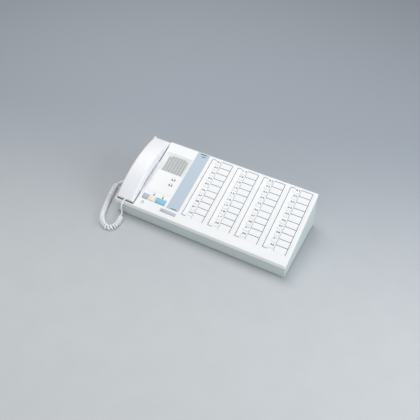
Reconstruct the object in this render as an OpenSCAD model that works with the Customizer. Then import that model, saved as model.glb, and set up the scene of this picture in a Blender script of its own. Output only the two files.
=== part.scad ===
// Desk intercom master station: a sloping console with a handset on a curly cord,
// a talk unit with three buttons, and four columns of ten station keys.
// Millimetres. X runs along the front, Y to the back, Z up from the desk.
// The origin is on the desk, under the middle of the case.
//
// Most pieces are placed on the sloping panel: u is the distance from the cover's left edge,
// s the distance up the slope from its front edge, and n the height over the panel.

/* [Case] */
// Width of the top cover
cover_w = 491; // [488:1:520]
// Length of the top cover, up the slope
cover_len = 223; // [223:1:236]
// Slope of the panel, in degrees
slope = 17; // [15:0.5:19]
// Height of the panel's front edge over the desk
front_h = 46; // [44:1:56]
// Wall of the top cover
cover_t = 3; // [2.6:0.1:3.2]
// Depth of the skirt round the cover
skirt_h = 10; // [10:0.5:12]
// Rounding of the cover's upper edges
edge_r = 2.6; // [1:0.1:2.8]
// Rounding of the case's upright corners
corner_r = 4; // [2:0.5:5]
// Wall of the base housing
base_t = 2.5; // [2:0.1:3]
// How far the cover stands out over the base at the front
front_step = 2; // [1:0.1:2.2]
// How far the cover stands out over the base at the back
back_step = 6; // [5.5:0.1:7]
// How far the cradle stands out over the base on the left
left_step = 7.5; // [6:0.5:9]
// How far the cover stands out over the base on the right
right_step = 1; // [0.5:0.1:1.5]
// Outward lean of the base's side walls, in degrees
side_lean = 4; // [2:0.5:5]

/* [Feet and screws] */
// Radius of a foot
foot_r = 8; // [5:0.5:10]
// Height of a foot below the base
foot_h = 2.5; // [2:0.5:4]
// Depth of the seat that holds a foot
foot_seat = 1; // [0.5:0.1:1.4]
// Radius of a screw's shank
screw_r = 1.5; // [1.2:0.1:2]
// Radius of a screw's head
screw_head_r = 3; // [2.6:0.1:3.2]
// Length of a screw under its head
screw_len = 10; // [8:0.5:12]
// Radius of a screw post in the base
post_r = 4.8; // [4.4:0.1:4.9]
// Radius of a screw boss in the cover
boss_r = 3.8; // [3:0.1:3.9]

/* [Handset] */
// Width of the handset
handset_w = 50; // [46:0.5:50.5]
// Length of the handset
handset_len = 206; // [200:1:206]
// Thickness of the handset in the middle of its grip
grip_t = 20; // [16:0.5:24]
// Height of the grip's crown over the panel
crown_n = 29; // [27:0.5:34]
// Height of the handset's ends over the panel
end_n = 8; // [7.5:0.5:9]
// Depth that a cup sinks into its pocket
cup_depth = 7.7; // [7:0.1:7.7]
// Length of the mouth cup
mouth_len = 39; // [34:0.5:39]
// Length of the ear cup
ear_len = 63.5; // [56:0.5:63.5]
// Wall of the handset's shells
handset_t = 2; // [1.6:0.1:2.6]
// Rounding along the handset's upper edges
handset_r = 6; // [3:0.5:7]
// Depth of the handset's upper shell
shell_depth = 13; // [10:0.5:14]

/* [Cradle] */
// Distance from the cover's front to the handset
handset_s = 7; // [6:0.5:7]
// Distance from the cover's left edge to the handset
handset_u = 4.5; // [4:0.5:5]
// Side gap round a cup in its pocket
pocket_gap = 1.5; // [1.1:0.1:2]
// Gap in front of the mouth cup
front_gap = 3.1; // [2:0.1:3.5]
// Depth of the finger scoop under the grip
scoop_depth = 6.5; // [4:0.5:7]
// Length of the finger scoop
scoop_len = 85; // [60:1:90]
// Width of the finger scoop from the cover's left edge
scoop_w = 40.5; // [30:0.5:46]
// Depth of the dip in the rim behind the handset
rim_dip = 6; // [3:0.5:7]

/* [Station keys] */
// Distance from the cover's left edge to the first station panel
columns_u = 186; // [186:0.5:187]
// Rim of the cover to the right of the last panel
right_rim = 9; // [8:0.5:10]
// Rim of the cover between two panels
column_rim = 8; // [6:0.5:10]
// Distance between rows of keys
row_pitch = 18.5; // [17:0.1:18.5]
// Extra distance in the middle of a column
middle_gap = 2.1; // [0:0.1:2.5]
// Distance from the cover's front to the top row's marks
first_mark_s = 210.9; // [209:0.1:211]
// Width of a station key
key_w = 14; // [10:0.5:15]
// Depth of a station key, up the slope
key_d = 7.5; // [6:0.5:8]
// Height of a key's cap over the panel
key_rise = 0.8; // [0.4:0.1:2]
// Travel of a station key
key_travel = 1.2; // [0.8:0.1:1.5]
// Thickness of a name card
card_t = 0.4; // [0.3:0.1:0.8]

/* [Talk unit] */
// Travel of the three large buttons
button_travel = 1.5; // [1:0.1:2]
// Height of the large buttons over the panel
button_rise = 2; // [1.6:0.1:3]
// Depth of the large buttons, up the slope
button_d = 15.2; // [12:0.1:16]
// Width of the off button
off_w = 16; // [12:0.5:16]
// Width of the call button
call_w = 14.8; // [11:0.1:15]
// Width of the talk button
talk_w = 29; // [24:0.5:30]
// Length of a volume slot
slot_w = 11; // [9:0.5:12]
// Width of a volume slot
slot_d = 5; // [3:0.1:5]
// Length of a volume knob
knob_w = 4; // [3:0.1:5]
// Height of a volume knob over the panel
knob_rise = 1.4; // [0.8:0.1:2]
// Width of the accent strip
strip_w = 35.5; // [30:0.5:36]
// Thickness of the accent strip
strip_t = 0.8; // [0.5:0.1:1]
// Radius of the loudspeaker
speaker_r = 33; // [28:0.5:34]
// Number of grille slots
grille_slots = 7; // [5:1:7]
// Distance between grille slots
grille_pitch = 8.6; // [7:0.1:8.8]
// Width of a grille slot
grille_gap = 6.4; // [4:0.1:6.6]

/* [Curly cord] */
// Diameter of the cord
cord_d = 3.8; // [3:0.1:3.8]
// Outer diameter of the curls
curl_d = 14.5; // [14:0.1:14.6]
// Distance from curl to curl
curl_pitch = 5; // [4.9:0.1:6]
// Length of the boot where the cord leaves the handset
boot_len = 8; // [6:0.5:8]
// Radius of the boot at the handset
boot_r = 2.8; // [2.4:0.1:2.9]

/* [Clearances] */
// Running clearance between moving pieces
gap = 0.3; // [0.2:0.05:0.4]

/* [Hidden] */
$fn = 64;
// Facets on the small sound holes
hole_fn = 24;
// Facets on the handset's long arcs
arc_fn = 360;
// A length past a face, for clean cuts
past = 1;
// How far a post runs into the wall that carries it
seat = 0.5;
// Longer than the whole case, for cutting bodies
far = 700;

COLUMNS = 4;
ROWS = 10;
HALF = ROWS / 2;
key_names = [for (i = [1:COLUMNS * ROWS]) str("key_", i < 10 ? "0" : "", i)];

// The case in plan: the slope's shadow on the desk, and the base's widest reach
back_h = front_h + cover_len * sin(slope);
case_d = cover_len * cos(slope);
front_y = -case_d / 2;
back_y = case_d / 2;
// How far the base's leaning right wall reaches past the cover, at the back of the desk
base_reach = (back_h * cos(slope) - skirt_h) * tan(side_lean) - right_step;
case_w = cover_w + max(0, base_reach);
left_x = -case_w / 2;

// Handset, measured up the slope
handset_end = handset_s + handset_len;
handset_mid = handset_s + handset_len / 2;
handset_c = handset_u + handset_w / 2;
mouth_end = handset_s + mouth_len;
ear_start = handset_end - ear_len;
arc_rise = crown_n - end_n;
top_r = (pow(handset_len / 2, 2) + pow(arc_rise, 2)) / (2 * arc_rise);
arc_c = crown_n - top_r;
grip_mid = (mouth_end + ear_start) / 2;
grip_n = crown_n - grip_t;
grip_rise = 7.5;
grip_half = (ear_start - mouth_end) / 2;
grip_r = (pow(grip_half, 2) + pow(grip_rise, 2)) / (2 * grip_rise);
end_r = 2.5;
cup_r = 2;
receiver_r = 17;
receiver_h = 7;
receiver_s = (ear_start + handset_end) / 2;
microphone_r = 5;
microphone_h = 5;
microphone_s = (handset_s + mouth_end) / 2;
sound_hole_r = 1.2;
sound_ring_r = 5;

// Cradle: two pockets with a bridge between them. The right side has some extra room.
pocket_n = cup_depth + gap;
pocket_u0 = handset_u - pocket_gap;
right_room = 0.8;
pocket_w = handset_w + 2 * pocket_gap + right_room;
pocket_r = 3;
bridge_gap = 1.1;
cradle_w = pocket_u0 + pocket_w + cover_t;
scoop_r = (pow(scoop_len / 2, 2) + pow(scoop_depth, 2)) / (2 * scoop_depth);
rim_s = handset_end + pocket_gap;

// Hook plunger, in the floor of the ear pocket
plunger_w = 8;
plunger_d = 6;
plunger_len = 14;
plunger_rise = 4;
plunger_in = 12;
plunger_s = ear_start + plunger_in;
plunger_flange = 2;
plunger_flange_t = 1.5;

// Station panels: they share the width that the rims leave
column_pitch = (cover_w - columns_u - right_rim + column_rim) / COLUMNS;
panel_w = column_pitch - column_rim;
panel_t = cover_t;
panel_left = 24;
first_mark_u = columns_u + panel_left;
panel_s0 = 26;
panel_over = 7;
panel_s1 = first_mark_s + panel_over;
panel_fit = 0.2;
ledge_in = 1.5;
ledge_out = 2;
ledge_t = 1.4;
key_off_u = 0.3;
key_off_s = -7.4;
key_flange = 1;
key_flange_t = 1.2;
card_off_u = 9.25;
card_top = 3.1;
card_in = 4.25;
card_w = panel_w - panel_left - card_off_u - card_in;
card_gap = 0.8;

// Boards under the panels
board_t = 1.6;
board_n = 12;
board_left = 21;
board_in = 6;
board_w = panel_w - panel_left + board_left - board_in;
board_s0 = 28;
board_s1 = first_mark_s + key_off_s + key_d / 2 + 1.2;
stem_w = 4;
switch_w = 6;
switch_h = 3.4;
hook_switch_h = 3;
stand_w = 4;
stand_in = 1;

// Large buttons and volume slides
off_u = 75.2;
call_u = 94.4;
talk_u = 121;
button_s = 38.7;
button_flange = 1.2;
button_flange_t = 1.2;
slider_u = 121.2;
chime_s = 111;
voice_s = 93.4;
knob_flange_w = 9;
knob_flange_d = 6.5;
pot_w = 16;
pot_d = 8;
talk_board_n = 14;
talk_board_u0 = 64;
talk_board_u1 = 141;
talk_board_s0 = 15.5;
talk_board_s1 = 118;
lamp_r = 1.5;
lamp_rise = 0.6;
lamp_s = 50.5;
lamp_us = [94.9, 121.8];
mic_u = 75.9;
mic_s = 19.4;
mic_holes = 5;
mic_hole_r = 0.7;
mic_ring_r = 2.2;
mic_body_r = 4.2;

// Accent strip, name plate and loudspeaker
strip_u0 = 143.4;
strip_s0 = 28.7;
plate_u0 = 131.5;
plate_s0 = 13;
plate_w = 46;
plate_d = 10;
plate_sink = 0.4;
speaker_u = 103.5;
speaker_s = 155.4;
cone_depth = 9;
dome_r = 0.3 * speaker_r;
rim_w = 4;
rim_t = 2.5;
basket_depth = 15;
magnet_r = 0.55 * speaker_r;
magnet_depth = 24;
speaker_sink = 1;
sink_u0 = 62.9;
sink_w = 77.7;
sink_s0 = 127.7;
sink_d = 60.1;
grille_len = 52;
grille_short = 6;

// Screws and feet
screw_left_u = 95.5;
screw_rims = [1, 3];
screw_us = concat(screw_left_u, [for (i = screw_rims) mark_u(i) - panel_left - column_rim / 2]);
screw_front_s = 10;
screw_back_s = 205;
screw_depth = 16;
shoulder_t = 3;
head_t = 2;
thread_gap = 0.1;
hole_spare = 0.5;
driver_slot = 0.8;
driver_depth = 0.7;
foot_inset = 22;

// Main board on the base's floor
main_w = 150;
main_d = 90;
main_u0 = 250;
main_stand = 6;
main_stand_r = 3;
main_in = 5;
transformer = [36, 30, 26];
transformer_x = 12;
transformer_y = -4;
capacitor_r = 6;
capacitor_h = 20;
capacitor_x = 70;
capacitor_y = 12;
capacitor_pitch = 18;

// Cord jack in the left wall
jack_y = 6;
jack_z = 13;
jack_r = 5;
jack_out = 0.6;

// Route of the cord: lead from the handset, curls along the desk, lead into the left wall
lead_out = [
    [-218.85, -108.81, 48.68], [-218.85, -112.64, 47.51], [-219, -116.6, 44.5], [-219.4, -118.8, 39],
    [-219.9, -119.2, 32], [-220.3, -118.8, 26], [-220.4, -118.4, 21]];
curl_path = [
    [-220.2, -118.9, 16.4], [-219.4, -121.6, 12], [-218, -126.8, 9], [-216, -135, 7.4],
    [-214.4, -144, 7.4], [-213.8, -154, 7.4], [-216, -165, 7.4], [-222, -172.4, 7.4],
    [-231.6, -175.2, 7.4], [-243, -171.2, 7.4], [-254.6, -161.6, 7.4], [-264.4, -148, 7.4],
    [-271.4, -132, 7.4], [-277, -115.6, 7.4], [-282, -99, 7.4], [-286.8, -82, 7.4],
    [-291.4, -66, 7.4], [-295.8, -49, 7.4], [-298.4, -35, 7.4], [-298, -22, 7.4]];
lead_in = [
    [-294, -11, 7.4], [-286, -2.4, 8.2], [-275, 3, 10], [-263, 5.6, 12],
    [-253.4, 6, 13], [-247.75, 6, 13]];
RINGS_A_CURL = 8;
CORD_SIDES = 6;
LEAD_STEP = 3;
RAMP_CURLS = 0.75;
APART = 3;

// ---------------------------------------------------------------- places

// Height of the plane n over the desk, at the depth y
function plane_z(y, n) = front_h + (y - front_y) * tan(slope) + n / cos(slope);
// Where a point of the slope lies
function slope_y(s, n) = front_y + s * cos(slope) - n * sin(slope);

// Distance from the cover's front to a row's marks
function mark_s(row) = first_mark_s - row * row_pitch - (row < HALF ? 0 : middle_gap);
// Distance from the cover's left edge to a column's marks
function mark_u(column) = first_mark_u + column * column_pitch;

module on_slope() {
    translate([left_x, front_y, front_h]) rotate([slope, 0, 0]) children();
}

// A box on the slope, between two heights over the panel
module slab(u0, w, s0, d, n0, n1) {
    translate([u0, s0, n0]) cube([w, d, n1 - n0]);
}

// A side profile in (y, z), drawn out along X from x0
module along_x(x0, w) {
    translate([x0, 0, 0]) rotate([90, 0, 90]) linear_extrude(w) children();
}

// A front profile in (u, n), drawn out up the slope from s0
module up_slope(s0, d) {
    translate([0, s0 + d, 0]) rotate([90, 0, 0]) linear_extrude(d) children();
}

// What is cut off a corner to leave an arc about c, which touches the sides at t1 and t2
module arc_cut(c, t1, t2, corner, r) {
    difference() {
        polygon([c, 2 * t1 - c, 2 * corner - c, 2 * t2 - c]);
        translate(c) circle(r);
    }
}

// The same for a corner between two straight sides that leave it at the angles a1 and a2
module corner_cut(corner, a1, a2, r) {
    half = (a2 - a1) / 2;
    mid = (a1 + a2) / 2;
    c = corner + r / sin(half) * [cos(mid), sin(mid)];
    t = r / tan(half);
    arc_cut(c, corner + t * [cos(a1), sin(a1)], corner + t * [cos(a2), sin(a2)], corner, r);
}

// A rectangle with round corners, by exact arcs
module round_rect(w, d, r) {
    translate([r, 0]) square([w - 2 * r, d]);
    translate([0, r]) square([w, d - 2 * r]);
    for (x = [r, w - r], y = [r, d - r]) translate([x, y]) circle(r);
}

// ---------------------------------------------------------------- case

// The cover's outer block, with its upper edges and its upright corners rounded
module cover_block() {
    intersection() {
        along_x(left_x - past, cover_w + 2 * past) difference() {
            polygon([
                [front_y, plane_z(front_y, -skirt_h)], [back_y, plane_z(back_y, -skirt_h)],
                [back_y, plane_z(back_y, 0)], [front_y, plane_z(front_y, 0)]]);
            corner_cut([front_y, plane_z(front_y, 0)], 270, 360 + slope, edge_r);
            corner_cut([back_y, plane_z(back_y, 0)], 180 + slope, 270, edge_r);
        }
        on_slope() up_slope(-far / 2, far) difference() {
            translate([0, -far / 2]) square([cover_w, far / 2]);
            corner_cut([0, 0], 270, 360, edge_r);
            corner_cut([cover_w, 0], 180, 270, edge_r);
        }
        translate([left_x, front_y, -past]) linear_extrude(far) round_rect(cover_w, case_d, corner_r);
    }
}

// The space inside the cover, to the right of the cradle
module cover_hollow() {
    y0 = front_y + cover_t;
    y1 = back_y - cover_t;
    along_x(left_x + cradle_w, cover_w - cradle_w - cover_t) polygon([
        [y0, 0], [y1, 0], [y1, plane_z(y1, -cover_t)], [y0, plane_z(y0, -cover_t)]]);
}

// The ledge under the rim of each panel's window
module window_ledges() {
    for (column = [0:COLUMNS - 1]) {
        u0 = mark_u(column) - panel_left;
        difference() {
            slab(u0 - ledge_out, panel_w + 2 * ledge_out,
                 panel_s0 - ledge_out, panel_s1 - panel_s0 + 2 * ledge_out,
                 -cover_t - ledge_t, -cover_t + seat);
            slab(u0 + ledge_in, panel_w - 2 * ledge_in,
                 panel_s0 + ledge_in, panel_s1 - panel_s0 - 2 * ledge_in,
                 -cover_t - ledge_t - past, -cover_t + past);
        }
    }
}

// The cradle's two pockets, the finger scoop, and the dip in the rim behind the handset
module cradle_cuts() {
    mouth_s0 = handset_s - front_gap;
    ear_s0 = ear_start - bridge_gap;
    translate([pocket_u0, mouth_s0, -pocket_n])
        linear_extrude(far) round_rect(pocket_w, mouth_end + bridge_gap - mouth_s0, pocket_r);
    translate([pocket_u0, ear_s0, -pocket_n])
        linear_extrude(far) round_rect(pocket_w, rim_s - ear_s0, pocket_r);
    slab(pocket_u0 + cover_t, pocket_w - cover_t, rim_s - pocket_r, far, -rim_dip, far);
    translate([-past, grip_mid, scoop_r - scoop_depth]) rotate([0, 90, 0])
        cylinder(r = scoop_r, h = scoop_w + past, $fn = arc_fn);
    slab(scoop_w + past, cradle_w - cover_t - scoop_w - past,
         mouth_end + 2 * cover_t, grip_half * 2 - 4 * cover_t, -skirt_h - past, -cover_t);
    slab(handset_c - plunger_w / 2 - gap, plunger_w + 2 * gap,
         plunger_s - plunger_d / 2 - gap, plunger_d + 2 * gap, -skirt_h - past, past);
}

// Openings of the talk unit: buttons, slots, lamps, microphone, grille and the two sunk places
module talk_cuts() {
    button_hole(off_u, off_w);
    button_hole(call_u, call_w);
    button_hole(talk_u, talk_w);
    for (s = [chime_s, voice_s])
        slab(slider_u - slot_w / 2, slot_w, s - slot_d / 2, slot_d, -cover_t - past, past);
    for (u = lamp_us)
        translate([u, lamp_s, -cover_t - past]) cylinder(r = lamp_r + gap, h = cover_t + 2 * past);
    for (i = [1:mic_holes]) {
        a = 360 * i / mic_holes;
        translate([mic_u + mic_ring_r * cos(a), mic_s + mic_ring_r * sin(a), -cover_t - past])
            cylinder(r = mic_hole_r, h = cover_t + 2 * past, $fn = hole_fn);
    }
    slab(sink_u0, sink_w, sink_s0, sink_d, -speaker_sink, past);
    slab(plate_u0, plate_w, plate_s0, plate_d, -plate_sink, past);
    for (i = [0:grille_slots - 1]) {
        off = i - (grille_slots - 1) / 2;
        cut = abs(off) > grille_slots / 2 - 1 ? grille_short : 0;
        slab(speaker_u + off * grille_pitch - grille_gap / 2, grille_gap,
             speaker_s - grille_len / 2, grille_len - cut, -cover_t - past, past);
    }
}

module button_hole(u, w) {
    slab(u - w / 2 - gap, w + 2 * gap, button_s - button_d / 2 - gap, button_d + 2 * gap,
         -cover_t - past, past);
}

// Where the screws stand: [x, y, height of the joint between post and boss]
screw_places = [
    for (u = screw_us, s = [screw_front_s, screw_back_s])
        let (y = slope_y(s, -screw_depth))
        [left_x + u, y, plane_z(y, -screw_depth)]];

module top_cover() color("white") {
    difference() {
        union() {
            difference() {
                cover_block();
                cover_hollow();
            }
            on_slope() window_ledges();
            on_slope() talk_board_stands();
            on_slope() hook_board_stands();
            for (p = screw_places)
                translate(p) cylinder(r = boss_r, h = plane_z(p[1], -cover_t / 2) - p[2]);
        }
        on_slope() {
            cradle_cuts();
            talk_cuts();
            for (column = [0:COLUMNS - 1])
                slab(mark_u(column) - panel_left - panel_fit, panel_w + 2 * panel_fit,
                     panel_s0 - panel_fit, panel_s1 - panel_s0 + 2 * panel_fit, -cover_t, past);
            slab(strip_u0, strip_w, strip_s0, cover_len, -strip_t, past);
        }
        for (p = screw_places)
            translate([p[0], p[1], p[2] - past])
                cylinder(r = screw_r + thread_gap, h = screw_len - shoulder_t + past + hole_spare);
    }
}

// The base's side walls lean out from the line under the skirt: what lies outside them
module side_cuts(inset) {
    on_slope() {
        translate([left_step + inset, 0, -skirt_h]) rotate([0, side_lean, 0])
            translate([-far, -far, -far]) cube([far, 2 * far, 2 * far]);
        translate([cover_w - right_step - inset, 0, -skirt_h]) rotate([0, -side_lean, 0])
            translate([0, -far, -far]) cube([far, 2 * far, 2 * far]);
    }
}

// The base as a block whose walls stand in by the given amount, from z0 up to the plane n
module base_block(inset, z0, n) {
    y0 = front_y + front_step + inset;
    y1 = back_y - back_step - inset;
    difference() {
        along_x(-far / 2, far) polygon([
            [y0, z0], [y1, z0], [y1, plane_z(y1, n)], [y0, plane_z(y0, n)]]);
        side_cuts(inset);
    }
}

module base_housing() color("lightsteelblue") {
    back_y0 = back_y - back_step;
    rim_n = -cover_t - ledge_t;
    difference() {
        union() {
            difference() {
                base_block(0, foot_h, -skirt_h);
                base_block(base_t, foot_h + base_t, past);
            }
            // The back wall goes on up inside the skirt, to the ledges of the panels
            along_x(left_x + cradle_w + gap, cover_w - cradle_w - 2 * cover_t) polygon([
                [back_y0 - base_t, foot_h + base_t], [back_y0, foot_h + base_t],
                [back_y0, plane_z(back_y0, rim_n)], [back_y0 - base_t, plane_z(back_y0 - base_t, rim_n)]]);
            for (p = screw_places)
                translate([p[0], p[1], foot_h]) cylinder(r = post_r, h = p[2] - foot_h);
            for (p = main_stands)
                translate([p[0], p[1], foot_h]) cylinder(r = main_stand_r, h = base_t + main_stand);
            translate([left_x + jack_out, jack_y, jack_z]) rotate([0, 90, 0])
                cylinder(r = jack_r, h = left_step);
        }
        for (p = screw_places) {
            translate([p[0], p[1], -past])
                cylinder(r = screw_head_r + gap, h = p[2] - shoulder_t + past);
            translate([p[0], p[1], 0]) cylinder(r = screw_r + gap, h = p[2] + past);
        }
        for (p = foot_places)
            translate([p[0], p[1], foot_h - past]) cylinder(r = foot_r + gap, h = foot_seat + past);
    }
}

// Feet near the corners, clear of the screw posts
foot_places = [
    for (x = [left_x + left_step + foot_inset, left_x + cover_w - foot_inset],
         y = [front_y + foot_inset, back_y - back_step - foot_inset]) [x, y]];

module rubber_feet() color("dimgray") {
    for (p = foot_places) translate([p[0], p[1], 0]) cylinder(r = foot_r, h = foot_h + foot_seat);
}

module case_screws() color("silver") {
    for (p = screw_places)
        translate([p[0], p[1], p[2] - shoulder_t]) {
            cylinder(r = screw_r, h = screw_len);
            difference() {
                translate([0, 0, -head_t]) cylinder(r = screw_head_r, h = head_t);
                translate([-screw_head_r, -driver_slot / 2, -head_t - past])
                    cube([2 * screw_head_r, driver_slot, past + driver_depth]);
            }
        }
}

// ---------------------------------------------------------------- station keys

module station_panels() color("whitesmoke") on_slope() {
    for (column = [0:COLUMNS - 1]) {
        u = mark_u(column);
        difference() {
            slab(u - panel_left, panel_w, panel_s0, panel_s1 - panel_s0, -panel_t, 0);
            for (row = [0:ROWS - 1]) {
                s = mark_s(row);
                slab(u + key_off_u - key_w / 2 - gap, key_w + 2 * gap,
                     s + key_off_s - key_d / 2 - gap, key_d + 2 * gap, -panel_t - past, past);
                slab(u + card_off_u, card_w, s + card_top - row_pitch + card_gap,
                     row_pitch - card_gap, -card_t, past);
            }
        }
        for (x = [u - board_left + stand_in, u - board_left + board_w - stand_w - stand_in],
             s = [board_s0 + stand_in, board_s1 - stand_w - stand_in])
            slab(x, stand_w, s, stand_w, -board_n, -panel_t);
    }
}

module name_cards() color("lavender") on_slope() {
    for (column = [0:COLUMNS - 1], row = [0:ROWS - 1])
        slab(mark_u(column) + card_off_u + gap / 2, card_w - gap,
             mark_s(row) + card_top - row_pitch + card_gap + gap / 2, row_pitch - card_gap - gap,
             -card_t, 0);
}

// One key: cap, flange under the panel, and the stem that meets its switch
module station_key(column, row) color("white") on_slope() {
    u = mark_u(column) + key_off_u;
    s = mark_s(row) + key_off_s;
    under = panel_t + gap + key_flange_t;
    slab(u - key_w / 2, key_w, s - key_d / 2, key_d, -under, key_rise);
    slab(u - key_w / 2 - key_flange, key_w + 2 * key_flange,
         s - key_d / 2 - key_flange, key_d + 2 * key_flange, -under, -panel_t - gap);
    slab(u - stem_w / 2, stem_w, s - stem_w / 2, stem_w,
         -board_n + switch_h + key_travel + gap / 3, -under);
}

// ---------------------------------------------------------------- talk unit

// One large button: cap, flange under the cover, and the stem that meets its switch
module large_button(u, w) {
    under = cover_t + gap + button_flange_t;
    on_slope() {
        slab(u - w / 2, w, button_s - button_d / 2, button_d, -under, button_rise);
        slab(u - w / 2 - button_flange, w + 2 * button_flange,
             button_s - button_d / 2 - button_flange, button_d + 2 * button_flange,
             -under, -cover_t - gap);
        slab(u - stem_w / 2, stem_w, button_s - stem_w / 2, stem_w,
             -talk_board_n + switch_h + button_travel + gap / 3, -under);
    }
}

module off_button() color([0.69, 0.75, 0.82]) large_button(off_u, off_w);

module call_button() color([0.96, 0.9, 0.8]) large_button(call_u, call_w);

module talk_button() color([0.47, 0.76, 0.87]) large_button(talk_u, talk_w);

// One volume knob: the tab in its slot, and the flange that hides the slot from inside
module volume_slider(s) color("white") on_slope() {
    under = cover_t + gap + key_flange_t;
    slab(slider_u - knob_w / 2, knob_w, s - slot_d / 2 + gap, slot_d - 2 * gap, -under, knob_rise);
    slab(slider_u - knob_flange_w / 2, knob_flange_w, s - knob_flange_d / 2, knob_flange_d,
         -under, -cover_t - gap);
}

module chime_volume_slider() volume_slider(chime_s);

module speaker_volume_slider() volume_slider(voice_s);

module accent_plate() color([0.76, 0.81, 0.88]) on_slope()
    slab(strip_u0 + gap / 2, strip_w - gap, strip_s0 + gap / 2,
         cover_len - edge_r - strip_s0 - gap, -strip_t, 0);

// Rim, cone and magnet, turned about the loudspeaker's axis
module speaker() color("dimgray") on_slope()
    translate([speaker_u, speaker_s, -cover_t]) rotate_extrude() polygon([
        [0, -cone_depth], [dome_r, -cone_depth], [speaker_r - rim_w, -rim_w / 2],
        [speaker_r - rim_w, 0], [speaker_r, 0], [speaker_r, -rim_t], [magnet_r, -basket_depth],
        [magnet_r, -magnet_depth], [0, -magnet_depth]]);

// ---------------------------------------------------------------- boards

// Posts that hold the talk unit's board under the cover
module talk_board_stands() {
    for (u = [talk_board_u0, talk_board_u1 - stand_w], s = [talk_board_s0 + past, talk_board_s1 - stand_w])
        slab(u, stand_w, s, stand_w, -talk_board_n, -cover_t + seat);
}

hook_board_n = pocket_n + plunger_len + hook_switch_h + gap;
hook_stand_off = 10;

// Posts that hold the hook switch's board under the ear pocket
module hook_board_stands() {
    for (side = [-1, 1])
        slab(handset_c + side * hook_stand_off - stand_w / 2, stand_w,
             plunger_s - stand_w / 2, stand_w, -hook_board_n, -skirt_h + seat);
}

main_stands = [
    for (u = [main_u0 + main_in, main_u0 + main_w - main_in],
         y = [-main_d / 2 + main_in, main_d / 2 - main_in])
        [left_x + u, y]];

module key_boards() {
    for (column = [0:COLUMNS - 1]) {
        u = mark_u(column);
        slab(u - board_left, board_w, board_s0, board_s1 - board_s0, -board_n - board_t, -board_n);
        for (row = [0:ROWS - 1])
            slab(u + key_off_u - switch_w / 2, switch_w,
                 mark_s(row) + key_off_s - switch_w / 2, switch_w, -board_n, -board_n + switch_h);
    }
}

module talk_board() {
    slab(talk_board_u0, talk_board_u1 - talk_board_u0, talk_board_s0, talk_board_s1 - talk_board_s0,
         -talk_board_n - board_t, -talk_board_n);
    for (u = [off_u, call_u, talk_u])
        slab(u - switch_w / 2, switch_w, button_s - switch_w / 2, switch_w,
             -talk_board_n, -talk_board_n + switch_h);
    for (s = [chime_s, voice_s])
        slab(slider_u - pot_w / 2, pot_w, s - pot_d / 2, pot_d,
             -talk_board_n, -cover_t - 2 * gap - key_flange_t);
    for (u = lamp_us)
        translate([u, lamp_s, -talk_board_n]) cylinder(r = lamp_r, h = talk_board_n + lamp_rise);
    translate([mic_u, mic_s, -talk_board_n]) cylinder(r = mic_body_r, h = talk_board_n - cover_t);
}

module hook_board() {
    slab(handset_c - hook_stand_off - stand_w / 2, 2 * hook_stand_off + stand_w,
         plunger_s - stand_w, 2 * stand_w, -hook_board_n - board_t, -hook_board_n);
    slab(handset_c - switch_w / 2, switch_w, plunger_s - switch_w / 2, switch_w,
         -hook_board_n, -hook_board_n + hook_switch_h);
}

// The main board on its posts, with a transformer and two capacitors
module main_board() {
    z0 = foot_h + base_t + main_stand;
    translate([left_x + main_u0, -main_d / 2, z0]) cube([main_w, main_d, board_t]);
    translate([left_x + main_u0 + transformer_x, transformer_y, z0 + board_t]) cube(transformer);
    for (i = [0, 1])
        translate([left_x + main_u0 + capacitor_x + capacitor_pitch * i, capacitor_y, z0 + board_t])
            cylinder(r = capacitor_r, h = capacitor_h);
}

module circuit_boards() color("seagreen") {
    on_slope() {
        key_boards();
        talk_board();
        hook_board();
    }
    main_board();
}

module hook_plunger() color("white") on_slope() {
    slab(handset_c - plunger_w / 2, plunger_w, plunger_s - plunger_d / 2, plunger_d,
         -pocket_n - plunger_len, -pocket_n);
    slab(handset_c - plunger_w / 2 - plunger_flange, plunger_w + 2 * plunger_flange,
         plunger_s - plunger_d / 2, plunger_d,
         -skirt_h - gap - plunger_rise - plunger_flange_t, -skirt_h - gap - plunger_rise);
}

// ---------------------------------------------------------------- handset

// Side outline of the handset in (s, n), standing in by the given wall
module handset_side(wall) {
    s0 = handset_s + wall;
    s1 = handset_end - wall;
    n0 = wall - cup_depth;
    top = top_r - wall;
    r = end_r;
    c_n = arc_c + sqrt(pow(top - r, 2) - pow(s1 - r - handset_mid, 2));
    difference() {
        intersection() {
            translate([s0, n0]) square([s1 - s0, crown_n - n0 - wall]);
            translate([handset_mid, arc_c]) circle(top, $fn = arc_fn);
        }
        intersection() {
            translate([mouth_end - wall, n0 - past])
                square([2 * (grip_half + wall), crown_n - n0]);
            translate([grip_mid, grip_n - grip_r]) circle(grip_r + wall, $fn = arc_fn);
        }
        if (wall == 0) {
            end_cut(s0, 1, c_n, top, r);
            end_cut(s1, -1, c_n, top, r);
            corner_cut([s0, n0], 0, 90, cup_r);
            corner_cut([mouth_end, n0], 90, 180, cup_r);
            corner_cut([ear_start, n0], 0, 90, cup_r);
            corner_cut([s1, n0], 90, 180, cup_r);
        }
    }
}

// Rounds the upper edge at one end of the handset
module end_cut(s, side, c_n, top, r) {
    centre = [handset_mid, arc_c];
    c = [s + side * r, c_n];
    corner = [s, arc_c + sqrt(pow(top, 2) - pow(s - handset_mid, 2))];
    arc_cut(c, [s, c_n], centre + (c - centre) * top / (top - r), corner, r);
}

// A ring about the centre of the handset's arc, of the given radii and width
module arc_ring(r0, r1, w, r) {
    translate([handset_c, handset_mid, arc_c]) rotate([0, 90, 0])
        rotate_extrude($fn = arc_fn) difference() {
            translate([r0, -w / 2]) square([r1 - r0, w]);
            if (r > 0) {
                corner_cut([r1, -w / 2], 90, 180, r);
                corner_cut([r1, w / 2], 180, 270, r);
            }
        }
}

// The side outline, drawn out over the handset's width
module handset_bar(wall) {
    translate([handset_u + wall, 0, 0]) rotate([90, 0, 90])
        linear_extrude(handset_w - 2 * wall) handset_side(wall);
}

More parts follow.
